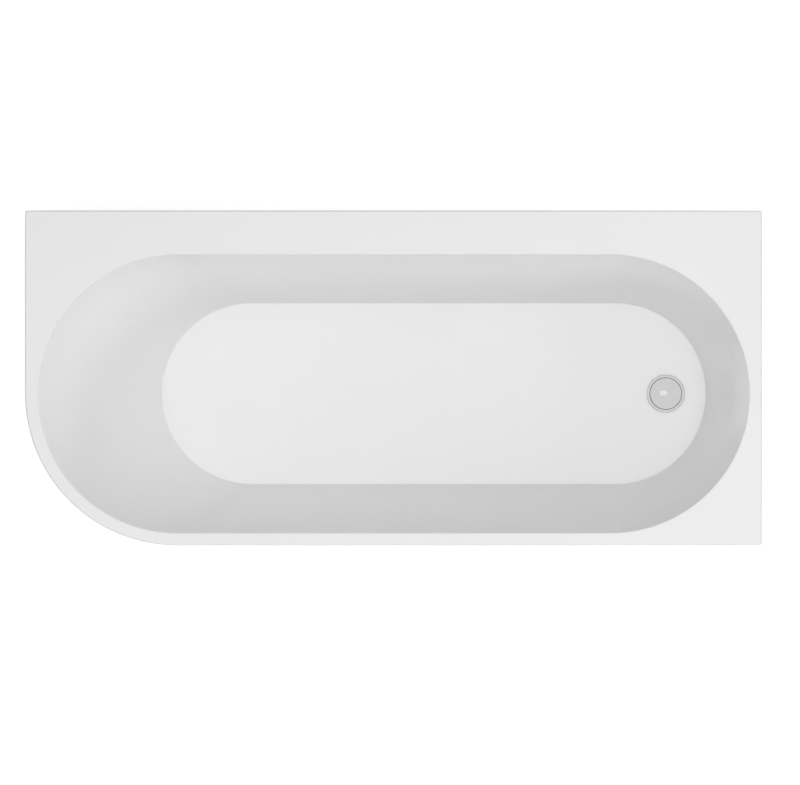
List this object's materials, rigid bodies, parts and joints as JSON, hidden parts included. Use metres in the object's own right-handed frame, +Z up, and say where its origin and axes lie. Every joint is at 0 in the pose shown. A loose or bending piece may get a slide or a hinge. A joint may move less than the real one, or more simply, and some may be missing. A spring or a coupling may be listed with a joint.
{
  "type": "bathtub",
  "caption": "White J-shaped acrylic bath for a corner, with a sloped head end, a click waste, a shallow trap, adjustable legs and one wrap-round panel.",
  "frame": {"origin": "on the bathroom floor, under the middle of the rim's outline", "axes": "+X towards the waste end, +Y towards the rear wall, +Z up"},
  "size_m": [1.65, 0.75, 0.58],
  "materials": {
    "acrylic": "gloss white acrylic sheet",
    "panel_acrylic": "gloss white acrylic sheet",
    "laminate": "sprayed glassfibre and resin",
    "chipboard": "raw chipboard",
    "timber": "sawn softwood",
    "galvanised_steel": "galvanised, spangled",
    "zinc_fasteners": "bright zinc",
    "threaded_steel": "zinc-plated thread",
    "pad_plastic": "black moulded plastic",
    "angle_aluminium": "mill finish",
    "chrome": "polished chrome",
    "seal_rubber": "black rubber",
    "brass": "turned brass",
    "spring_steel": "bright spring wire",
    "trap_plastic": "white polypropylene"
  },
  "bodies": {
    "bath": {"acrylic_shell": "acrylic", "front_panel": "panel_acrylic", "glassfibre_backing": "laminate", "base_board": "chipboard", "rear_batten": "timber", "panel_blocks": "timber", "head_channel": "galvanised_steel", "waste_channel": "galvanised_steel", "centre_bracket": "galvanised_steel", "panel_tie_head": "galvanised_steel", "panel_tie_waste": "galvanised_steel", "wall_bracket_head": "galvanised_steel", "wall_bracket_waste": "galvanised_steel", "lock_nuts": "zinc_fasteners", "channel_screws": "zinc_fasteners", "centre_screws": "zinc_fasteners", "bracket_screws": "zinc_fasteners", "block_screws": "zinc_fasteners", "tie_bolts": "zinc_fasteners", "tie_nuts": "zinc_fasteners", "panel_angle_head": "angle_aluminium", "panel_angle_waste": "angle_aluminium", "waste_flange": "chrome", "waste_top_seal": "seal_rubber", "waste_bottom_seal": "seal_rubber", "trap_washer": "seal_rubber", "trap_cap_seal": "seal_rubber", "trap_outlet_seal": "seal_rubber", "plug_cartridge": "brass", "cartridge_end_cap": "brass", "plug_spring": "spring_steel", "waste_back_nut": "trap_plastic", "trap_union_nut": "trap_plastic", "trap_body": "trap_plastic", "trap_cap": "trap_plastic", "trap_outlet_nut": "trap_plastic"},
    "plug": {"plug_cap": "chrome", "plug_seal": "seal_rubber", "plug_stem": "brass"},
    "leg_head_front": {"leg_rod_head_front": "threaded_steel", "leg_pad_head_front": "pad_plastic"},
    "leg_head_rear": {"leg_rod_head_rear": "threaded_steel", "leg_pad_head_rear": "pad_plastic"},
    "leg_waste_front": {"leg_rod_waste_front": "threaded_steel", "leg_pad_waste_front": "pad_plastic"},
    "leg_waste_rear": {"leg_rod_waste_rear": "threaded_steel", "leg_pad_waste_rear": "pad_plastic"},
    "leg_centre": {"leg_rod_centre": "threaded_steel", "leg_pad_centre": "pad_plastic"}
  },
  "joints": [
    {"name": "plug_click", "type": "slide", "parent": "bath", "child": "plug", "axis": [0, 0, 1], "range_m": [0, 0.01], "deforming": ["plug_spring"]},
    {"name": "leg_head_front_adjust", "type": "slide", "parent": "bath", "child": "leg_head_front", "axis": [0, 0, 1], "range_m": [-0.02, 0.02]},
    {"name": "leg_head_rear_adjust", "type": "slide", "parent": "bath", "child": "leg_head_rear", "axis": [0, 0, 1], "range_m": [-0.02, 0.02]},
    {"name": "leg_waste_front_adjust", "type": "slide", "parent": "bath", "child": "leg_waste_front", "axis": [0, 0, 1], "range_m": [-0.02, 0.02]},
    {"name": "leg_waste_rear_adjust", "type": "slide", "parent": "bath", "child": "leg_waste_rear", "axis": [0, 0, 1], "range_m": [-0.02, 0.02]},
    {"name": "leg_centre_adjust", "type": "slide", "parent": "bath", "child": "leg_centre", "axis": [0, 0, 1], "range_m": [-0.02, 0.02]}
  ]
}
